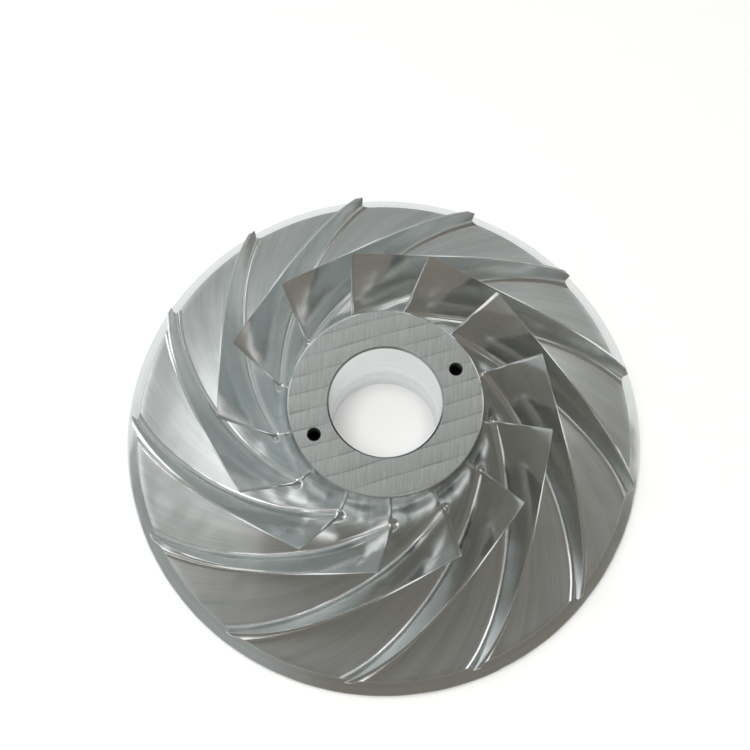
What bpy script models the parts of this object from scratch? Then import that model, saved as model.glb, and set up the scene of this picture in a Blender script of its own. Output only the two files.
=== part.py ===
"""Open impeller: a turned hub and back disc with thirteen milled blades swept clockwise outwards."""

import bpy
import numpy as np
from math import comb, cos, pi, radians, sin

# Disc and rim. The origin is at the centre of the flat back face, and +Z is the shaft axis.
RIM_RADIUS = 0.1223
RIM_LAND = 0.004
FLOOR_RADIUS = 0.1163
FLOOR_HEIGHT = 0.009
EDGE_BREAK = 0.0004
BACK_CHAMFER = 0.0006

# Hub. Its flank falls steeply from the front face and sweeps out into the disc floor.
FACE_RADIUS = 0.0431
FACE_HEIGHT = 0.0505
FACE_CHAMFER = 0.0005
FLANK_POWER = 2.6
BORE_RADIUS = 0.025
BORE_CHAMFER = 0.0008

# Two tapped holes in the front face, which take the puller screws.
PULLER_CIRCLE_RADIUS = 0.0346
PULLER_HOLE_RADIUS = 0.0025
PULLER_HOLE_DEPTH = 0.014
PULLER_HOLE_ANGLE = radians(28.7)

# Blades. Angles about the axis are counted from +X, anticlockwise from above.
BLADES = 13
ROOT_START_RADIUS = 0.0497
ROOT_START_ANGLE = radians(139.4)
TIP_START_RADIUS = 0.0743
TIP_START_HEIGHT = 0.0468
TIP_START_ANGLE = radians(131.3)
TIP_END_RADIUS = 0.1186
TIP_END_HEIGHT = 0.0163
TIP_POWER = 1.88

# Blade angles are from the radial plane, as control values from the leading to the trailing edge.
ROOT_BLADE_ANGLES = [radians(54.6), radians(55.8), radians(41.8), radians(50.8)]
TIP_BLADE_ANGLES = [radians(64.2), radians(59.3), radians(45.8), radians(61.9)]

# Thickness at the leading and at the trailing edge.
ROOT_THICKNESS = [0.0018, 0.0042]
TIP_THICKNESS = [0.0011, 0.0015]

# The ball-ended cutter leaves the blades' feet rounded. The gap keeps the blade solids off the hub.
CUTTER_RADIUS = 0.003
FOOT_GAP = 0.0003

# How far the blade lines are drawn past the trailing edge before they are trimmed.
OVERRUN = 0.012
PAST_END = 1.08

# How finely the solids are faceted.
TURN_STEPS = 104
FLANK_POINTS = 24
STATIONS = 20
NOSE_POINTS = 3
FOOT_ROWS = 4
WALL_ROWS = 4
BORE_STEPS = 20
FINE = 400


def clear_scene():
    for obj in list(bpy.data.objects):
        bpy.data.objects.remove(obj, do_unlink=True)


def new_collection(name):
    collection = bpy.data.collections.new(name)
    bpy.context.scene.collection.children.link(collection)
    return collection


def aluminium(name, roughness):
    material = bpy.data.materials.new(name)
    material.use_nodes = True
    shader = material.node_tree.nodes["Principled BSDF"]
    shader.inputs["Base Color"].default_value = (0.60, 0.62, 0.61, 1)
    shader.inputs["Metallic"].default_value = 1.0
    shader.inputs["Roughness"].default_value = roughness
    return material


def sweep_in(low_radius, high_radius, top, bottom, power, count):
    """A curve that starts straight down at low_radius and ends level at high_radius."""
    angles = np.linspace(0, pi / 2, count)
    radii = high_radius - (high_radius - low_radius) * np.cos(angles) ** (2 / power)
    heights = top - (top - bottom) * np.sin(angles) ** (2 / power)
    return radii, heights


def flank(count):
    return sweep_in(FACE_RADIUS, FLOOR_RADIUS, FACE_HEIGHT, FLOOR_HEIGHT, FLANK_POWER, count)


def tip_path():
    return sweep_in(
        TIP_START_RADIUS, TIP_END_RADIUS, TIP_START_HEIGHT, TIP_END_HEIGHT, TIP_POWER, FINE
    )


def control_curve(values, share):
    """A smooth curve drawn by control values, as a share of the blade's length runs from 0 to 1."""
    top = len(values) - 1
    return sum(
        comb(top, i) * share**i * (1 - share) ** (top - i) * value
        for i, value in enumerate(values)
    )


def edge_loop(path, start_radius, start_angle, blade_angles, thickness):
    """Points round an edge: in along the anticlockwise face, round the nose, out along the other."""
    radii = np.append(path[0], path[0][-1] + OVERRUN)
    heights = np.append(path[1], path[1][-1])
    distance = np.concatenate([[0], np.cumsum(np.hypot(np.diff(radii), np.diff(heights)))])
    start = np.interp(start_radius, radii, distance)
    whole = distance[-2] - start
    length = np.linspace(0, PAST_END * whole, FINE)
    slope = control_curve(blade_angles, length / whole)
    rate = np.tan(slope) / np.interp(start + length, distance, radii)
    turned = np.concatenate([[0], np.cumsum((rate[1:] + rate[:-1]) / 2 * np.diff(length))])

    # The nose is a half round, so the thickness starts from nothing.
    nose = thickness[0] / 2
    round_part = nose * (1 - np.cos(np.linspace(0, pi / 2, NOSE_POINTS)))
    place = np.concatenate([round_part, np.linspace(nose, length[-1], STATIONS)[1:]])
    half = (thickness[0] + (thickness[1] - thickness[0]) * place / whole) / 2
    half *= np.sqrt(1 - np.clip(1 - place / nose, 0, 1) ** 2)
    slope = np.interp(place, length, slope)
    turned = np.interp(place, length, turned)
    sides = []
    for side in (1, -1):
        moved = start + place + side * half * np.sin(slope)
        radius = np.interp(moved, distance, radii)
        angle = start_angle - turned + side * half * np.cos(slope) / radius
        height = np.interp(moved, distance, heights)
        sides.append(np.stack([radius * np.cos(angle), radius * np.sin(angle), height], axis=1))
    return np.concatenate([sides[0][::-1], sides[1][1:]])


def over_flank(points):
    """How far points stand off the hub flank, and the flank's outward direction there."""
    radius = np.hypot(points[:, 0], points[:, 1])
    wide, tall = FLOOR_RADIUS - FACE_RADIUS, FACE_HEIGHT - FLOOR_HEIGHT
    inward = np.clip((FLOOR_RADIUS - radius) / wide, 0, None)
    downward = np.clip((FACE_HEIGHT - points[:, 2]) / tall, 0.02, None)
    across = FLANK_POWER * inward ** (FLANK_POWER - 1) / wide
    up = FLANK_POWER * downward ** (FLANK_POWER - 1) / tall
    steep = np.hypot(across, up)[:, None]
    off = (1 - inward**FLANK_POWER - downward**FLANK_POWER)[:, None] / steep
    way = np.stack([across * points[:, 0] / radius, across * points[:, 1] / radius, up], axis=1)
    return off, way / steep


def along_of(a, b):
    return (a * b).sum(axis=1, keepdims=True)


def unit(vectors):
    return vectors / np.linalg.norm(vectors, axis=1, keepdims=True)


def blade_rows():
    """Rows of points round the blade: up the rounded foot, then straight up the wall to the tip."""
    root = edge_loop(
        flank(FINE), ROOT_START_RADIUS, ROOT_START_ANGLE, ROOT_BLADE_ANGLES, ROOT_THICKNESS
    )
    tip = edge_loop(
        tip_path(), TIP_START_RADIUS, TIP_START_ANGLE, TIP_BLADE_ANGLES, TIP_THICKNESS
    )
    forward = unit(np.gradient(root, axis=0))
    normal = over_flank(root)[1]
    out = unit(np.cross(forward, normal))
    wall = tip - root
    square = wall - along_of(wall, forward) * forward
    height = np.linalg.norm(square, axis=1, keepdims=True)
    lean = np.arctan2(along_of(square, normal), along_of(square, out))
    reach = CUTTER_RADIUS / np.tan(lean / 2)
    first = np.arccos(1 - FOOT_GAP / CUTTER_RADIUS)

    rows = []
    for share in np.linspace(0, 1, FOOT_ROWS):
        rolled = first + share * (pi - lean - first)
        level = CUTTER_RADIUS * (1 - np.cos(rolled))
        climbed = level / np.sin(lean)
        outward = reach - CUTTER_RADIUS * np.sin(rolled) - climbed * np.cos(lean)
        points = root + outward * out + climbed * wall / height
        points -= (over_flank(points)[0] - level) * (1 - share) ** 2 * normal
        rows.append(points)
    low = reach / height
    for share in np.linspace(0, 1, WALL_ROWS + 1)[1:]:
        rows.append(root + (low + (1 - low) * share) * wall)
    return rows


def trimmed(row):
    """One side of a row, from the nose outwards, drawn in so that it ends in the turned end surface."""
    slope = (TIP_END_RADIUS - FLOOR_RADIUS) / (TIP_END_HEIGHT - FLOOR_HEIGHT)
    end = FLOOR_RADIUS + slope * (row[:, 2] - FLOOR_HEIGHT)
    beyond = np.hypot(row[:, 0], row[:, 1]) - end
    last = int(np.argmax(beyond > 0))
    crossing = last - beyond[last] / (beyond[last] - beyond[last - 1])
    steps = np.arange(len(row), dtype=float)
    late = steps > NOSE_POINTS
    steps[late] = NOSE_POINTS + (steps[late] - NOSE_POINTS) * (crossing - NOSE_POINTS) / (
        len(row) - 1 - NOSE_POINTS
    )
    return np.stack([np.interp(steps, np.arange(len(row)), row[:, k]) for k in range(3)], axis=1)


def blade_mesh():
    """A closed loft of the rows, with a tip land, a trailing end and an underside along the hub."""
    rows = blade_rows()
    nose = len(rows[0]) // 2
    loops = np.array(
        [np.concatenate([trimmed(row[nose::-1])[::-1], trimmed(row[nose:])[1:]]) for row in rows]
    )
    count, size = loops.shape[:2]
    under = (loops[0, :nose] + loops[0, : size - 1 - nose : -1]) / 2
    off, way = over_flank(under)
    under -= (off - FOOT_GAP) * way
    middle = [count * size + k for k in range(nose)] + [nose]
    top = (count - 1) * size

    faces = []
    for start in range(0, top, size):
        for k in range(start, start + size - 1):
            faces.append([k, k + 1, k + size + 1, k + size])
    for start in range(size, top, size):
        faces.append([start + size - 1, start, start + size, start + 2 * size - 1])
    faces.append([size - 1, middle[0], 0, size, 2 * size - 1])
    for k in range(nose):
        other = size - 1 - k
        strips = [
            [top + k, top + k + 1, top + other - 1, top + other],
            [middle[k], middle[k + 1], k + 1, k],
            [other, other - 1, middle[k + 1], middle[k]],
        ]
        faces += [list(dict.fromkeys(strip)) for strip in strips]
    return np.concatenate([loops.reshape(-1, 3), under]), faces


def add_blades(collection, material):
    """The blades are alike, each turned clockwise from the one before it."""
    points, faces = blade_mesh()
    for i in range(BLADES):
        turn = -2 * pi * i / BLADES
        rows = np.array([[cos(turn), sin(turn), 0], [-sin(turn), cos(turn), 0], [0, 0, 1]])
        mesh = bpy.data.meshes.new(f"blade_{i + 1:02d}")
        mesh.from_pydata((points @ rows).tolist(), [], faces)
        mesh.materials.append(material)
        blade = bpy.data.objects.new(mesh.name, mesh)
        collection.objects.link(blade)


def hub_section():
    """The turned profile, from the bore's front edge round the outside to its back edge."""
    radii, heights = flank(FLANK_POINTS)
    section = [
        (BORE_RADIUS, FACE_HEIGHT - BORE_CHAMFER),
        (BORE_RADIUS + BORE_CHAMFER, FACE_HEIGHT),
        (FACE_RADIUS - FACE_CHAMFER, FACE_HEIGHT),
        (FACE_RADIUS, FACE_HEIGHT - FACE_CHAMFER),
    ]
    section += list(zip(radii[1:].tolist(), heights[1:].tolist()))
    section += [
        (FLOOR_RADIUS + EDGE_BREAK, FLOOR_HEIGHT - EDGE_BREAK),
        (RIM_RADIUS, RIM_LAND),
        (RIM_RADIUS, BACK_CHAMFER),
        (RIM_RADIUS - BACK_CHAMFER, 0.0),
        (BORE_RADIUS + BORE_CHAMFER, 0.0),
        (BORE_RADIUS, BORE_CHAMFER),
    ]
    return section


def add_hub_disc(collection, material):
    section = hub_section()
    edges = [(i, (i + 1) % len(section)) for i in range(len(section))]
    mesh = bpy.data.meshes.new("hub_disc")
    mesh.from_pydata([(radius, 0.0, height) for radius, height in section], edges, [])
    mesh.materials.append(material)
    hub = bpy.data.objects.new("hub_disc", mesh)
    collection.objects.link(hub)
    screw = hub.modifiers.new("turned", "SCREW")
    screw.steps = TURN_STEPS
    screw.render_steps = TURN_STEPS
    screw.use_merge_vertices = True
    screw.merge_threshold = 0.00001
    return hub


def cut_puller_holes(hub, cutters):
    """Two blind round holes, opposite each other on the front face."""
    for i in range(2):
        angle = PULLER_HOLE_ANGLE + pi * i
        across = PULLER_CIRCLE_RADIUS * cos(angle)
        along = PULLER_CIRCLE_RADIUS * sin(angle)
        bpy.ops.mesh.primitive_cylinder_add(
            vertices=BORE_STEPS,
            radius=PULLER_HOLE_RADIUS,
            depth=2 * PULLER_HOLE_DEPTH,
            location=(across, along, FACE_HEIGHT),
        )
        hole = bpy.context.object
        hole.name = f"puller_hole_{i + 1}"
        for owner in hole.users_collection:
            owner.objects.unlink(hole)
        cutters.objects.link(hole)
        hole.hide_render = True
        hole.display_type = "WIRE"
        boolean = hub.modifiers.new(hole.name, "BOOLEAN")
        boolean.operation = "DIFFERENCE"
        boolean.solver = "EXACT"
        boolean.object = hole


def main():
    clear_scene()
    parts = new_collection("impeller")
    cutters = new_collection("cutters")
    hub = add_hub_disc(parts, aluminium("turned_aluminium", 0.30))
    cut_puller_holes(hub, cutters)
    add_blades(parts, aluminium("milled_aluminium", 0.24))


main()
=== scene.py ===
"""Oil pump impeller: a milled aluminium wheel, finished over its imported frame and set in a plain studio."""

import bmesh
import bpy
import numpy as np
from math import comb, cos, pi, radians, sin
from mathutils import Matrix, Vector


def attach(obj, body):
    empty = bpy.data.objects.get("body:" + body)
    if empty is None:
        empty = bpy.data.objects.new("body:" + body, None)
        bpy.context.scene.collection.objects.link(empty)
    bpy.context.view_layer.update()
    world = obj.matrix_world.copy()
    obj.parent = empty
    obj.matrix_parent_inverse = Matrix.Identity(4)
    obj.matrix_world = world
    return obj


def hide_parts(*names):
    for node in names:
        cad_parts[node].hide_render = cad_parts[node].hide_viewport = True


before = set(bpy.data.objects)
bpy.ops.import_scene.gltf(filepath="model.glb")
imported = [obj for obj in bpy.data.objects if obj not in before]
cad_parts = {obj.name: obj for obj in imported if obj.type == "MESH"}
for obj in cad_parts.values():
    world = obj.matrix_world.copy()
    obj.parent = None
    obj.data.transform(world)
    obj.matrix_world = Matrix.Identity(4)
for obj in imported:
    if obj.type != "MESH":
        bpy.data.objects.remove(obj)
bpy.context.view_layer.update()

# Hub and back disc
# One mass of wrought aluminium, turned on a lathe and then milled between the blades with a ball cutter.
# The flank sweeps down from the front face into a flat floor, and the rim is a turned cone.
# The back is hidden in use and in the photograph, so it has the plain turned face of such a wheel.
BORE_RADIUS = 0.025
BORE_CHAMFER = 0.0008
FACE_RADIUS = 0.0431
FACE_HEIGHT = 0.0505
FACE_CHAMFER = 0.0005
FLANK_POWER = 2.6
FLOOR_RADIUS = 0.1163
FLOOR_HEIGHT = 0.009
EDGE_ROLL = 0.0026
EDGE_DROP = 0.00012
EDGE_INSET = 0.00012
EDGE_TURN = 0.0003
RIM_RADIUS = 0.1223
RIM_LAND = 0.004
RIM_TURN = 0.0003
RIM_INSET = 0.0002
BACK_CHAMFER = 0.0006
BLADES = 13
COLUMNS = BLADES * 44
FINE = 600
FLANK_STEP = 0.0009
CONE_STEP = 0.0012
PLAIN_STEP = 0.004


def sweep_in(low_radius, high_radius, top, bottom, power, count):
    """A curve that starts straight down at low_radius and ends level at high_radius."""
    angles = np.linspace(0, pi / 2, count)
    radii = high_radius - (high_radius - low_radius) * np.cos(angles) ** (2 / power)
    heights = top - (top - bottom) * np.sin(angles) ** (2 / power)
    return radii, heights


def arc(centre, radius, start, end, count):
    """Points of a rounded corner in the profile, as (radius, height)."""
    angles = np.linspace(start, end, count)
    return np.stack([centre[0] + radius * np.cos(angles), centre[1] + radius * np.sin(angles)], axis=1)


def evenly(line, step):
    """The same line with points at even distances."""
    distance = np.concatenate([[0], np.cumsum(np.linalg.norm(np.diff(line, axis=0), axis=1))])
    places = np.linspace(0, distance[-1], max(2, int(round(distance[-1] / step)) + 1))
    return np.stack([np.interp(places, distance, line[:, k]) for k in range(line.shape[1])], axis=1)


def hub_profile():
    """The turned section: from the face's edge down the flank, round the rim and back, and up the bore."""
    radii, heights = sweep_in(FACE_RADIUS, FLOOR_RADIUS, FACE_HEIGHT, FLOOR_HEIGHT, FLANK_POWER, FINE)
    inside = (radii < FLOOR_RADIUS - EDGE_ROLL) & (heights < FACE_HEIGHT - FACE_CHAMFER)
    flank = np.stack([radii[inside], heights[inside]], axis=1)

    # The floor's last 3 mm fall away a little, and then turn sharply into the rim's cone.
    share = np.linspace(0.1, 1, 7)
    eased_radii = FLOOR_RADIUS - EDGE_ROLL + share * (EDGE_ROLL - EDGE_INSET)
    eased = np.stack([eased_radii, FLOOR_HEIGHT - EDGE_DROP * share**2], axis=1)
    edge_centre = (FLOOR_RADIUS - EDGE_INSET, FLOOR_HEIGHT - EDGE_DROP - EDGE_TURN)
    edge = arc(edge_centre, EDGE_TURN, pi / 2.2, pi / 4, 4)
    lines = [
        np.array([[FACE_RADIUS - FACE_CHAMFER, FACE_HEIGHT], [FACE_RADIUS, FACE_HEIGHT - FACE_CHAMFER]]),
        evenly(flank, FLANK_STEP),
        eased,
        edge,
        evenly(np.array([edge[-1], [RIM_RADIUS, RIM_LAND]]), CONE_STEP)[1:-1],
        arc((RIM_RADIUS - RIM_TURN, RIM_LAND - RIM_INSET), RIM_TURN, radians(45), 0, 4),
        arc((RIM_RADIUS - BACK_CHAMFER, BACK_CHAMFER), BACK_CHAMFER, 0, -pi / 2, 5),
        evenly(np.array([[RIM_RADIUS - 2 * BACK_CHAMFER, 0], [BORE_RADIUS + BORE_CHAMFER, 0]]), PLAIN_STEP),
        np.array([[BORE_RADIUS, BORE_CHAMFER]]),
        evenly(
            np.array([[BORE_RADIUS, 2 * BORE_CHAMFER], [BORE_RADIUS, FACE_HEIGHT - BORE_CHAMFER]]), PLAIN_STEP
        ),
        np.array([[BORE_RADIUS + BORE_CHAMFER, FACE_HEIGHT]]),
    ]
    return np.concatenate(lines)


def turned(profile, columns):
    """Points and faces of a profile turned about the shaft axis."""
    angles = np.arange(columns) * 2 * pi / columns
    across, around = np.meshgrid(profile[:, 0], angles, indexing="ij")
    heights = np.repeat(profile[:, 1:], columns, axis=1)
    points = np.stack([across * np.cos(around), across * np.sin(around), heights], axis=2).reshape(-1, 3)
    row, column = np.meshgrid(np.arange(len(profile) - 1), np.arange(columns), indexing="ij")
    after = (column + 1) % columns
    near = row * columns
    far = near + columns
    faces = np.stack([near + column, far + column, far + after, near + after], axis=2).reshape(-1, 4)
    return points, faces


def linear(code):
    """An sRGB hex colour as linear red, green, blue and alpha."""
    shares = [int(code[i : i + 2], 16) / 255 for i in (1, 3, 5)]
    return [s / 12.92 if s <= 0.04045 else ((s + 0.055) / 1.055) ** 2.4 for s in shares] + [1.0]


def add(material, kind, values=(), links=(), **settings):
    """Adds a node to a material or to the world, with its settings, its socket values and its links."""
    node = material.node_tree.nodes.new("ShaderNode" + kind)
    for key, value in settings.items():
        setattr(node, key, value)
    for socket, value in dict(values).items():
        node.inputs[socket].default_value = value
    for socket, output in dict(links).items():
        material.node_tree.links.new(output, node.inputs[socket])
    return node


def new_material(name):
    """An empty Principled material, with its shader."""
    material = bpy.data.materials.new(name)
    material.use_nodes = True
    return material, material.node_tree.nodes["Principled BSDF"]


def join(material, output, socket):
    """Links a node's output to a socket of the shader."""
    material.node_tree.links.new(output, socket)


def milled_aluminium(name, waviness, streak, polished, satin, shades):
    """Aluminium cut by a ball cutter: bright and softly blurred where its side ran, satin where its end cut.

    The shades are the darker and the lighter rows. Polished and satin are roughnesses.
    """
    material, shader = new_material(name)
    shader.inputs["Metallic"].default_value = 1.0
    shader.inputs["Anisotropic"].default_value = 0.2
    path = add(material, "Attribute", attribute_name="cutter_path")
    way = add(material, "Attribute", attribute_name="cutter_way")
    join(material, way.outputs["Vector"], shader.inputs["Tangent"])
    place = add(material, "TexCoord").outputs["Object"]

    # In the stored path's millimetres, rows about 0.8 mm apart lie in broader passes about 6 mm wide.
    # Real rows are finer still, and these are drawn as coarse as they need to be to show.
    rows = add(
        material,
        "TexNoise",
        {"Scale": 1.2, "Detail": 3.0, "Roughness": 0.5},
        {"Vector": path.outputs["Vector"]},
    )
    passes = add(material, "TexNoise", {"Scale": 0.16, "Detail": 1.0}, {"Vector": path.outputs["Vector"]})
    both = add(material, "Math", links={0: rows.outputs["Fac"], 1: passes.outputs["Fac"]}, operation="ADD")
    contrast = add(material, "MapRange", {"From Min": 0.58, "From Max": 1.42}, {"Value": both.outputs[0]})
    tint = add(
        material,
        "Mix",
        {"A": linear(shades[0]), "B": linear(shades[1])},
        {"Factor": contrast.outputs["Result"]},
        data_type="RGBA",
    )
    join(material, tint.outputs["Result"], shader.inputs["Base Color"])

    # By height: the turned rim is smooth, the floor satin at 9 to 11 mm, and the metal bright from 20 mm up.
    height = add(material, "SeparateXYZ", links={"Vector": place})
    share = add(material, "MapRange", {"From Max": 0.025}, {"Value": height.outputs["Z"]})
    rough = add(material, "ValToRGB", links={"Fac": share.outputs["Result"]})
    stops = rough.color_ramp.elements
    stops[0].position = 0.34
    stops[0].color = (0.16, 0.16, 0.16, 1)
    stops[1].position = 0.80
    stops[1].color = (polished, polished, polished, 1)
    for position in (0.35, 0.44):
        stops.new(position).color = (satin, satin, satin, 1)
    join(material, rough.outputs["Color"], shader.inputs["Roughness"])

    # The blade and the cutter gave way a little, which left swells about 15 mm wide that bend reflections.
    uneven = add(material, "TexNoise", {"Scale": 65.0, "Detail": 1.0, "Roughness": 0.4}, {"Vector": place})
    wavy = add(material, "Bump", {"Strength": waviness, "Distance": 0.001}, {"Height": uneven.outputs["Fac"]})
    fine = add(
        material,
        "Bump",
        {"Strength": streak, "Distance": 0.0001},
        {"Height": rows.outputs["Fac"], "Normal": wavy.outputs["Normal"]},
    )
    join(material, fine.outputs["Normal"], shader.inputs["Normal"])
    return material


def new_piece(name, points, faces, material, path, way, stands_for):
    """Makes a smooth mesh with its stored cutter path, and puts it in the frame."""
    mesh = bpy.data.meshes.new(name)
    mesh.from_pydata(points.tolist(), [], [list(face) for face in faces])
    mesh.materials.append(material)
    mesh.shade_smooth()
    mesh.set_sharp_from_angle(angle=radians(28))
    for label, values in (("cutter_path", path), ("cutter_way", way)):
        layer = mesh.attributes.new(label, "FLOAT_VECTOR", "POINT")
        layer.data.foreach_set("vector", np.asarray(values, dtype=np.float32).ravel())
    piece = bpy.data.objects.new(name, mesh)
    bpy.context.scene.collection.objects.link(piece)
    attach(piece, "root")
    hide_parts(stands_for)


def control_curve(values, share):
    """A smooth curve drawn by control values, as a share of the blade's length runs from 0 to 1."""
    top = len(values) - 1
    return sum(
        comb(top, i) * share**i * (1 - share) ** (top - i) * value for i, value in enumerate(values)
    )


# The cutter ran over the floor along the blades' feet, so their line comes in here.
# Blade lines are drawn past the trailing edge and trimmed there later.
PAST_END = 1.13
OVERRUN = 0.012
ROOT_START_RADIUS = 0.0497
ROOT_START_ANGLE = radians(139.4)
ROOT_BLADE_ANGLES = [radians(54.6), radians(55.8), radians(41.8), radians(50.8)]


def centre_line(path, start_radius, start_angle, end_radius, blade_angles, past):
    """The line that a blade's middle follows over a path of radii and heights, carried on past its end."""
    radii, heights = path
    distance = np.concatenate([[0], np.cumsum(np.hypot(np.diff(radii), np.diff(heights)))])
    start = np.interp(start_radius, radii, distance)
    whole = np.interp(end_radius, radii, distance) - start
    length = np.linspace(0, past * whole, FINE)
    share = length / whole
    slope = control_curve(blade_angles, share)
    rate = np.tan(slope) / np.interp(start + length, distance, radii)
    turned_by = np.concatenate([[0], np.cumsum((rate[1:] + rate[:-1]) / 2 * np.diff(length))])
    return {
        "distance": distance,
        "start": start,
        "whole": whole,
        "length": length,
        "share": share,
        "slope": slope,
        "angle": start_angle - turned_by,
        "radii": radii,
        "heights": heights,
    }


def flank_path():
    """The flank, with the floor carried on level past its edge."""
    radii, heights = sweep_in(FACE_RADIUS, FLOOR_RADIUS, FACE_HEIGHT, FLOOR_HEIGHT, FLANK_POWER, FINE)
    return np.append(radii, FLOOR_RADIUS + OVERRUN), np.append(heights, FLOOR_HEIGHT)


foot = centre_line(
    flank_path(), ROOT_START_RADIUS, ROOT_START_ANGLE, FLOOR_RADIUS, ROOT_BLADE_ANGLES, PAST_END
)

# The stored cutter path is in millimetres across the rows, and its pattern is twenty times longer along them.
ROW_CIRCLE = 80
ALONG_PER_METRE = 50


def hub_cutter_marks(points):
    """The cutter's path and direction at each point of the hub: it ran along the blades' feet."""
    radii = np.hypot(points[:, 0], points[:, 1])
    angles = np.arctan2(points[:, 1], points[:, 0])
    place = foot["start"] + foot["length"]
    foot_radii = np.interp(place, foot["distance"], foot["radii"])
    lag = angles - np.interp(radii, foot_radii, foot["angle"])
    slope = np.interp(radii, foot_radii, foot["slope"])
    along = np.interp(radii, foot_radii, place)
    path = np.stack([ROW_CIRCLE * np.cos(lag), ROW_CIRCLE * np.sin(lag), ALONG_PER_METRE * along], axis=1)
    outward = np.stack([np.cos(angles), np.sin(angles), 0 * angles], axis=1)
    sideways = np.stack([np.sin(angles), -np.cos(angles), 0 * angles], axis=1)
    way = outward * np.cos(slope)[:, None] + sideways * np.sin(slope)[:, None]

    # The rim, the back and the bore were only turned, so their marks run round the axis.
    turned_only = (points[:, 2] < FLOOR_HEIGHT - EDGE_TURN) | (radii < FACE_RADIUS - FACE_CHAMFER)
    rings = np.stack([1000 * points[:, 2], 1000 * radii, 0 * radii], axis=1)
    path[turned_only] = rings[turned_only]
    way[turned_only] = sideways[turned_only]
    return path, way


turned_profile = hub_profile()
hub_points, hub_faces = turned(turned_profile, COLUMNS)
hub_path, hub_way = hub_cutter_marks(hub_points)
flank_metal = milled_aluminium("ball_milled_aluminium", 0.35, 0.05, 0.16, 0.34, ("#d0d6d6", "#eceff0"))
new_piece("hub_and_back_disc", hub_points, hub_faces, flank_metal, hub_path, hub_way, "hub_disc")

# Front face
# The hub's flat front end, with a hole at each side of the bore that is tapped for a puller screw.
# It was faced with a wide cutter in slanting passes, so it is satin, with a fine line where two passes meet.
PULLER_CIRCLE = 0.0346
PULLER_ANGLE = radians(28.7)
THREAD_CREST = 0.0025
THREAD_ROOT = 0.0030
THREAD_PITCH = 0.001
THREAD_DEPTH = 0.012
THREAD_END = 0.0001
HOLE_DEPTH = 0.014
DRILL_POINT = 0.0015
POINT_RADIUS = 0.00001
SINK_RADIUS = 0.0031
SINK_SLOPE = 1.2
HOLE_COLUMNS = 48
PASS_ANGLE = radians(20)
PASS_WIDTH = 0.0079
PASS_WAVER = 0.0035
TOOTH_ANGLE = radians(4)


def circle(bm, centre, radius, count):
    """A closed loop of edges on the front face."""
    corners = [
        bm.verts.new(
            (
                centre[0] + radius * cos(2 * pi * i / count),
                centre[1] + radius * sin(2 * pi * i / count),
                FACE_HEIGHT,
            )
        )
        for i in range(count)
    ]
    return [bm.edges.new((corners[i], corners[(i + 1) % count])) for i in range(count)]


def face_milled_aluminium(name):
    """Aluminium left satin by a facing cutter: soft grey, with slanting pass edges and fine cross lines."""
    material, shader = new_material(name)
    shader.inputs["Metallic"].default_value = 1.0
    place = add(material, "TexCoord").outputs["Object"]

    # Passes run at 20 degrees to the X axis, and their edges waver a little and fade in places.
    along = add(
        material, "Mapping", {"Rotation": (0, 0, -PASS_ANGLE)}, {"Vector": place}, vector_type="POINT"
    )
    split = add(material, "SeparateXYZ", links={"Vector": along.outputs["Vector"]})
    drift = add(material, "TexNoise", {"Scale": 30.0, "Detail": 1.0}, {"Vector": along.outputs["Vector"]})
    shifted = add(
        material,
        "Math",
        {1: PASS_WAVER},
        {0: drift.outputs["Fac"], 2: split.outputs["Y"]},
        operation="MULTIPLY_ADD",
    )
    count = add(material, "Math", {1: PASS_WIDTH}, {0: shifted.outputs[0]}, operation="DIVIDE")
    saw = add(material, "Math", links={0: count.outputs[0]}, operation="FRACT")
    edge = add(material, "ValToRGB", links={"Fac": saw.outputs[0]})
    stops = edge.color_ramp.elements
    stops[0].color = (0.0, 0.0, 0.0, 1)
    stops[1].color = (0.8, 0.8, 0.8, 1)
    for position, grey in ((0.04, 0.35), (0.14, 0.62), (0.5, 0.7)):
        stops.new(position).color = (grey, grey, grey, 1)
    patchy = add(material, "TexNoise", {"Scale": 45.0, "Detail": 2.0}, {"Vector": place})
    strength = add(
        material,
        "MapRange",
        {"From Min": 0.38, "From Max": 0.58, "To Min": 0.3, "To Max": 1.0},
        {"Value": patchy.outputs["Fac"]},
    )
    passes = add(
        material,
        "Mix",
        {"A": (0.7, 0.7, 0.7, 1)},
        {"Factor": strength.outputs["Result"], "B": edge.outputs["Color"]},
        data_type="RGBA",
    )

    # The marks of the cutter's teeth run steeply across the passes. Real ones are too fine to show, so these
    # are drawn 0.6 mm apart and about 14 mm long.
    across = add(
        material,
        "Mapping",
        {"Rotation": (0, 0, -TOOTH_ANGLE), "Scale": (1700, 70, 1)},
        {"Vector": place},
        vector_type="POINT",
    )
    lines = add(
        material,
        "TexNoise",
        {"Scale": 1.0, "Detail": 3.0, "Roughness": 0.7},
        {"Vector": across.outputs["Vector"]},
    )
    shade = add(
        material,
        "Mix",
        {"Factor": 0.5},
        {"A": passes.outputs["Result"], "B": lines.outputs["Fac"]},
        data_type="RGBA",
    )
    contrast = add(
        material,
        "MapRange",
        {"From Min": 0.25, "From Max": 0.75},
        {"Value": shade.outputs["Result"]},
    )
    tint = add(
        material,
        "Mix",
        {"A": linear("#a8b0b0"), "B": linear("#f9ffff")},
        {"Factor": contrast.outputs["Result"]},
        data_type="RGBA",
    )
    join(material, tint.outputs["Result"], shader.inputs["Base Color"])
    rough = add(
        material,
        "MapRange",
        {"From Min": 0.3, "From Max": 0.7, "To Min": 0.46, "To Max": 0.6},
        {"Value": lines.outputs["Fac"]},
    )
    join(material, rough.outputs["Result"], shader.inputs["Roughness"])
    bump = add(material, "Bump", {"Strength": 0.35, "Distance": 0.0002}, {"Height": lines.outputs["Fac"]})
    join(material, bump.outputs["Normal"], shader.inputs["Normal"])
    return material


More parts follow.
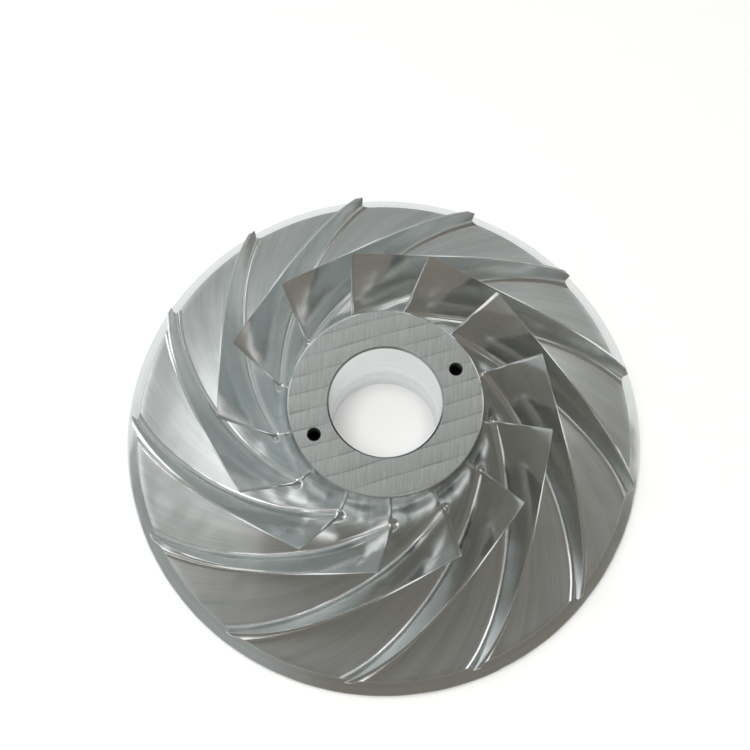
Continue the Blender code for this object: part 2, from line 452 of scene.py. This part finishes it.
def front_face_mesh():
    """The flat ring with its two holes, as points and faces."""
    bm = bmesh.new()
    edges = circle(bm, (0, 0), FACE_RADIUS - FACE_CHAMFER, COLUMNS)
    edges += circle(bm, (0, 0), BORE_RADIUS + BORE_CHAMFER, COLUMNS)
    for i in range(2):
        angle = PULLER_ANGLE + pi * i
        centre = (PULLER_CIRCLE * cos(angle), PULLER_CIRCLE * sin(angle))
        edges += circle(bm, centre, SINK_RADIUS, HOLE_COLUMNS)
    bmesh.ops.triangle_fill(bm, edges=edges, use_beauty=True, normal=(0, 0, 1))
    bm.verts.index_update()
    points = np.array([vert.co for vert in bm.verts])
    faces = [[vert.index for vert in face.verts] for face in bm.faces]
    bm.free()
    return points, faces


face_metal = face_milled_aluminium("face_milled_aluminium")
face_points, face_faces = front_face_mesh()
face_way = 0 * face_points + [1, 0, 0]
new_piece("front_face", face_points, face_faces, face_metal, face_points * 1000, face_way, "hub_disc")


def tapped_hole(angle):
    """The wall of a blind hole: a small countersink, a helical thread, a plain end and a drill point."""
    columns = HOLE_COLUMNS
    rows_per_pitch = 10
    rows = int(THREAD_DEPTH / THREAD_PITCH) * rows_per_pitch
    depths = np.linspace(0, THREAD_DEPTH, rows + 1)
    turns = np.arange(columns) * 2 * pi / columns
    depth, turn = np.meshgrid(depths, turns, indexing="ij")
    phase = (depth / THREAD_PITCH + turn / (2 * pi)) % 1
    thread = THREAD_CREST + (THREAD_ROOT - THREAD_CREST) * (1 - abs(2 * phase - 1))
    radius = np.maximum(thread, SINK_RADIUS - SINK_SLOPE * depth)
    ends = [
        (THREAD_CREST, THREAD_DEPTH + THREAD_END),
        (THREAD_CREST, HOLE_DEPTH - DRILL_POINT),
        (POINT_RADIUS, HOLE_DEPTH),
    ]
    for end_radius, end_depth in ends:
        radius = np.vstack([radius, np.full(columns, end_radius)])
        depth = np.vstack([depth, np.full(columns, end_depth)])
        turn = np.vstack([turn, turns])
    x = PULLER_CIRCLE * cos(angle) + radius * np.cos(turn)
    y = PULLER_CIRCLE * sin(angle) + radius * np.sin(turn)
    points = np.stack([x, y, FACE_HEIGHT - depth], axis=2).reshape(-1, 3)
    row, column = np.meshgrid(np.arange(len(radius) - 1), np.arange(columns), indexing="ij")
    after = (column + 1) % columns
    above = row * columns
    below = above + columns
    faces = np.stack([above + column, above + after, below + after, below + column], axis=2)
    return points, faces.reshape(-1, 4)


def tapped_aluminium_painted_shade(name):
    """Aluminium cut by a drill and a tap: duller than the face, with its colour painted dark and mottled as
    painted shade inside the holes.
    """
    material, shader = new_material(name)
    shader.inputs["Metallic"].default_value = 1.0
    place = add(material, "TexCoord").outputs["Object"]
    # Painted shade: a dark, mottled base colour stands in for the shade that falls inside the holes.
    painted_shade_noise = add(material, "TexNoise", {"Scale": 900.0, "Detail": 3.0}, {"Vector": place})
    tint = add(
        material,
        "Mix",
        {"A": linear("#3a3b39"), "B": linear("#7d807e")},
        {"Factor": painted_shade_noise.outputs["Fac"]},
        data_type="RGBA",
    )
    join(material, tint.outputs["Result"], shader.inputs["Base Color"])
    shader.inputs["Roughness"].default_value = 0.4
    return material


# The holes' metal has painted shade in its colour.
hole_metal_painted_shade = tapped_aluminium_painted_shade("tapped_aluminium_painted_shade")
for i in range(2):
    points, faces = tapped_hole(PULLER_ANGLE + pi * i)
    new_piece(
        f"puller_hole_{i + 1}", points, faces, hole_metal_painted_shade, points * 1000, 0 * points + [0, 0, 1], "hub_disc"
    )

# Blades
# Thirteen blades left standing when the passages were milled out, so they are one metal with the hub.
# The side of a ball-ended cutter left each face ruled straight from foot to tip, and its end the round foot.
TIP_START_RADIUS = 0.0743
TIP_START_HEIGHT = 0.0468
TIP_START_ANGLE = radians(132.5)
TIP_END_RADIUS = 0.1186
TIP_END_HEIGHT = 0.0163
TIP_POWER = 1.88
TIP_BLADE_ANGLES = [radians(66.9), radians(56.8), radians(47.3), radians(61.4)]
ROOT_THICKNESS = [0.0018, 0.0042]
TIP_THICKNESS = [0.0011, 0.0015]
CUTTER_RADIUS = 0.003
TIP_BREAK = 0.0002
CORNER_ROUND = 0.0007
NOSE_POINTS = 10
STATIONS = 150
FOOT_ROWS = 12
WALL_ROWS = 14
FOOT_SINK = 0.0008
LINE_SPARE = 0.002
FACE_SHIFT = 40.0
BLADE_SHIFT = 37.0


def tip_path():
    """The line that the tips follow, carried on straight past the trailing edge."""
    radii, heights = sweep_in(
        TIP_START_RADIUS, TIP_END_RADIUS, TIP_START_HEIGHT, TIP_END_HEIGHT, TIP_POWER, FINE
    )
    return np.append(radii, TIP_END_RADIUS + OVERRUN), np.append(heights, TIP_END_HEIGHT)


def edge_loop(line, thickness):
    """Points round an edge line of the blade: in along one face, round the nose and out along the other."""
    half_nose = thickness[0] / 2
    nose = half_nose * (1 - np.cos(np.linspace(0, pi / 2, NOSE_POINTS)))
    body = np.linspace(half_nose, line["length"][-1] - LINE_SPARE, STATIONS)[1:]
    length = np.concatenate([nose, body])
    half = np.interp(length, line["length"], thickness[0] + (thickness[1] - thickness[0]) * line["share"]) / 2
    half = half * np.sqrt(1 - (1 - np.minimum(length / half_nose, 1)) ** 2)
    slope = np.interp(length, line["length"], line["slope"])
    middle = np.interp(length, line["length"], line["angle"])
    sides = []
    for side in (1, -1):
        place = line["start"] + length + side * half * np.sin(slope)
        radius = np.interp(place, line["distance"], line["radii"])
        height = np.interp(place, line["distance"], line["heights"])
        angle = middle + side * half * np.cos(slope) / radius
        sides.append(np.stack([radius * np.cos(angle), radius * np.sin(angle), height], axis=1))
    return np.concatenate([sides[0][::-1], sides[1][1:]])


def flank_gap(points):
    """How far points stand off the flank, and the flank's outward normal there."""
    radius = np.hypot(points[:, 0], points[:, 1])
    inward = np.clip((FLOOR_RADIUS - radius) / (FLOOR_RADIUS - FACE_RADIUS), 0, None)
    downward = np.clip((FACE_HEIGHT - points[:, 2]) / (FACE_HEIGHT - FLOOR_HEIGHT), 0.02, None)
    value = 1 - inward**FLANK_POWER - downward**FLANK_POWER
    across = FLANK_POWER * inward ** (FLANK_POWER - 1) / (FLOOR_RADIUS - FACE_RADIUS)
    up = FLANK_POWER * downward ** (FLANK_POWER - 1) / (FACE_HEIGHT - FLOOR_HEIGHT)
    steep = np.hypot(across, up)
    normal = np.stack([across * points[:, 0] / radius, across * points[:, 1] / radius, up], axis=1)
    return value / steep, normal / steep[:, None]


def unit(vectors):
    """The vectors at length one."""
    return vectors / np.linalg.norm(vectors, axis=1, keepdims=True)


def dot(a, b):
    """How far each vector of a goes along the vector of b."""
    return (a * b).sum(axis=1, keepdims=True)


def blade_rows():
    """Rows of points round the blade, from under the floor, up the rounded foot and the wall, to the tip."""
    root = edge_loop(foot, ROOT_THICKNESS)
    tip_line = centre_line(
        tip_path(), TIP_START_RADIUS, TIP_START_ANGLE, TIP_END_RADIUS, TIP_BLADE_ANGLES, PAST_END
    )
    tip = edge_loop(tip_line, TIP_THICKNESS)
    along = unit(np.gradient(root, axis=0))
    normal = flank_gap(root)[1]
    out = unit(np.cross(along, normal))
    wall = tip - root
    across = wall - dot(wall, along) * along
    height = np.linalg.norm(across, axis=1, keepdims=True)
    lean = np.arctan2(dot(across, normal), dot(across, out))
    reach = CUTTER_RADIUS / np.tan(lean / 2)
    rows = []
    for share in np.linspace(0, 1, FOOT_ROWS):
        angle = 3 * pi / 2 - share * (pi - lean)
        level = CUTTER_RADIUS * (1 + np.sin(angle))
        up_wall = level / np.sin(lean)
        outward = reach + CUTTER_RADIUS * np.cos(angle) - up_wall * np.cos(lean)
        points = root + outward * out + up_wall * wall / height
        for _ in range(2):
            gap = flank_gap(points)[0]
            points = points - (gap[:, None] - level) * (1 - share) ** 2 * normal
        rows.append(points)
    rows.insert(0, rows[0] - FOOT_SINK * normal)

    # Above the foot the face is ruled, and the tip's edges are only just broken.
    low = reach / height
    rung = np.linalg.norm(tip - tip[::-1], axis=1, keepdims=True)
    broken = np.minimum(TIP_BREAK, 0.4 * rung)
    high = 1 - broken / np.linalg.norm(wall, axis=1, keepdims=True)
    for share in 1 - (1 - np.linspace(0, 1, WALL_ROWS + 1)[1:]) ** 1.6:
        rows.append(root + (low + (high - low) * share) * wall)
    inward = (tip[::-1] - tip) / np.maximum(rung, 1e-9)
    start = rows[-1]
    end = tip + broken * inward
    for share in (0.33, 0.67, 1.0):
        rows.append((1 - share) ** 2 * start + 2 * share * (1 - share) * tip + share**2 * end)
    return np.array(rows)


def end_radius(height):
    """The turned surface that the blades' trailing ends lie in, with the tip's corner a little rounded."""
    slope = (TIP_END_RADIUS - FLOOR_RADIUS) / (TIP_END_HEIGHT - FLOOR_HEIGHT)
    into_corner = np.clip(1 - (TIP_END_HEIGHT - height) / CORNER_ROUND, 0, 1)
    pulled_in = CORNER_ROUND * (1 - np.sqrt(1 - into_corner**2))
    return FLOOR_RADIUS + slope * np.maximum(height - FLOOR_HEIGHT, 0) - pulled_in


def trimmed(row):
    """One side of a row, from the nose outwards, drawn in so that it ends in the turned surface."""
    beyond = np.hypot(row[:, 0], row[:, 1]) - end_radius(row[:, 2])
    last = int(np.argmax(beyond > 0))
    crossing = last - beyond[last] / (beyond[last] - beyond[last - 1])
    steps = np.arange(len(row), dtype=float)
    late = steps > NOSE_POINTS
    steps[late] = NOSE_POINTS + (steps[late] - NOSE_POINTS) * (crossing - NOSE_POINTS) / (
        len(row) - 1 - NOSE_POINTS
    )
    return np.stack([np.interp(steps, np.arange(len(row)), row[:, k]) for k in range(3)], axis=1)


def blade_mesh():
    """A closed blade, with the cutter's path and direction at each point."""
    rows = blade_rows()
    half = rows.shape[1] // 2
    loops = np.array(
        [np.concatenate([trimmed(row[half::-1])[::-1], trimmed(row[half:])[1:]]) for row in rows]
    )
    count, size = loops.shape[:2]
    faces = []
    for j in range(count - 1):
        for k in range(size - 1):
            a = j * size + k
            faces.append([a, a + 1, a + size + 1, a + size])
        first = j * size
        last = first + size - 1
        faces.append([last, first, first + size, last + size])
    top = (count - 1) * size
    for k in range(half):
        m = size - 1 - k
        if k == half - 1:
            faces.append([top + k, top + k + 1, top + m])
            faces.append([m, k + 1, k])
        else:
            faces.append([top + k, top + k + 1, top + m - 1, top + m])
            faces.append([m, m - 1, k + 1, k])

    # The cutter ran along the blade, so its rows are counted up the wall and drawn out along the length.
    # A shift gives the blade's two faces different marks, and BLADE_SHIFT gives each blade its own.
    along = np.gradient(loops, axis=1)
    steps = np.linalg.norm(np.diff(loops, axis=1), axis=2)
    travelled = np.concatenate([np.zeros((count, 1)), np.cumsum(steps, axis=1)], axis=1)
    climb = np.concatenate(
        [np.zeros((1, size)), np.cumsum(np.linalg.norm(np.diff(loops, axis=0), axis=2), axis=0)], axis=0
    )
    side = np.where(np.arange(size) < half, 0.0, FACE_SHIFT)[None, :] + np.zeros((count, 1))
    path = np.stack([1000 * climb, side, ALONG_PER_METRE * travelled], axis=2).reshape(-1, 3)
    return loops.reshape(-1, 3), faces, path, along.reshape(-1, 3)


blade_metal = milled_aluminium("side_milled_aluminium", 0.7, 0.0, 0.19, 0.21, ("#dee1e1", "#f4f6f6"))
blade_points, blade_faces, blade_path, blade_way = blade_mesh()
for i in range(BLADES):
    turn = -2 * pi * i / BLADES
    spin = np.array([[cos(turn), sin(turn), 0], [-sin(turn), cos(turn), 0], [0, 0, 1]])
    new_piece(
        f"milled_blade_{i + 1:02d}",
        blade_points @ spin,
        blade_faces,
        blade_metal,
        blade_path + [BLADE_SHIFT * i, 0, 0],
        blade_way @ spin,
        f"blade_{i + 1:02d}",
    )

# Studio
# A plain pale sheet under the wheel, in a soft grey tent whose cloth is lighter at the back.
# A window and a long strip light the left, a panel the right and a thin strip the back of the wheel.
# The camera looks down from the front.
CAMERA_PLACE = (0.0, -0.14648, 0.51607)
CAMERA_TURN = (18.8, -0.355, 2.944)
CAMERA_LENS = 53.436

sheet_mesh = bpy.data.meshes.new("studio_floor")
sheet_mesh.from_pydata([(-3, -3, 0), (3, -3, 0), (3, 3, 0), (-3, 3, 0)], [], [[0, 1, 2, 3]])
sheet = bpy.data.objects.new("studio_floor", sheet_mesh)
sheet.location.z = -0.0002
bpy.context.scene.collection.objects.link(sheet)
paper, paper_shader = new_material("matt_white_paper")
paper_shader.inputs["Base Color"].default_value = linear("#f4f4f3")
paper_shader.inputs["Roughness"].default_value = 0.9
sheet_mesh.materials.append(paper)


def softbox(name, place, size, power, along=(1, 0, 0)):
    """A plain white light panel that faces the wheel, with its first side along a direction."""
    data = bpy.data.lights.new(name, "AREA")
    data.shape = "RECTANGLE"
    data.size, data.size_y = size
    data.energy = power
    lamp = bpy.data.objects.new(name, data)
    lamp.location = place
    back = Vector(place).normalized()
    side = back.cross(Vector(along)).normalized()
    lamp.rotation_euler = Matrix([side.cross(back), side, back]).transposed().to_euler()
    bpy.context.scene.collection.objects.link(lamp)
    return lamp


softbox("window_light", (-0.69, 0.23, 1.0), (0.70, 0.46), 1.38, (0.31, 0.95, 0.0))
softbox("strip_light", (-1.0, -0.78, 1.0), (1.4, 0.24), 0.95, (0.61, -0.79, 0.0))
softbox("right_panel", (0.72, 0.60, 1.0), (0.60, 0.40), 0.68, (-0.64, 0.77, 0.0))
softbox("back_strip", (0.12, 0.50, 1.27), (0.36, 0.05), 0.07, (0.97, -0.23, 0.0))

# The big panel only whitens the sheet: it is kept out of the metal's reflections.
sheet_light = softbox("sheet_light", (-0.1, -0.2, 2.0), (0.9, 0.9), 34.0)
sheet_light.visible_glossy = False

# The tent's cloth is warm grey, cooler and lighter at the back, and a little lighter at the front left.
# Its opening round the camera is reflected as dark.
world = bpy.data.worlds.new("light_tent")
world.use_nodes = True
bpy.context.scene.world = world
way_out = add(world, "TexCoord").outputs["Generated"]
cloth = add(world, "RGB").outputs["Color"]
cloth.default_value = linear("#7f7a72")


def tent_patch(below, direction, nearness, shade):
    """Turns the cloth to another shade around one direction, softly between two values of nearness."""
    side = add(
        world, "VectorMath", {1: Vector(direction).normalized()}, {0: way_out}, operation="DOT_PRODUCT"
    )
    share = add(
        world,
        "MapRange",
        {"From Min": nearness[0], "From Max": nearness[1]},
        {"Value": side.outputs["Value"]},
        interpolation_type="SMOOTHSTEP",
    )
    mixed = add(
        world,
        "Mix",
        {"B": linear(shade)},
        {"A": below, "Factor": share.outputs["Result"]},
        data_type="RGBA",
    )
    return mixed.outputs["Result"]


cloth = tent_patch(cloth, (-0.4, 0.9, 0.0), (0.0, 0.9), "#b3b9b8")
cloth = tent_patch(cloth, (-0.80, -0.58, 0.12), (0.7, 0.97), "#a2a4a2")
cloth = tent_patch(cloth, (0.15, -0.35, 0.92), (0.75, 0.96), "#76726c")
tent = world.node_tree.nodes["Background"]
join(world, cloth, tent.inputs["Color"])
bpy.context.scene.view_settings.view_transform = "Standard"

camera_data = bpy.data.cameras.new("camera")
camera_data.lens = CAMERA_LENS
camera_data.sensor_width = 36
camera_data.clip_start = 0.01
camera = bpy.data.objects.new("camera", camera_data)
camera.location = CAMERA_PLACE
camera.rotation_euler = [radians(angle) for angle in CAMERA_TURN]
bpy.context.scene.collection.objects.link(camera)
bpy.context.scene.camera = camera
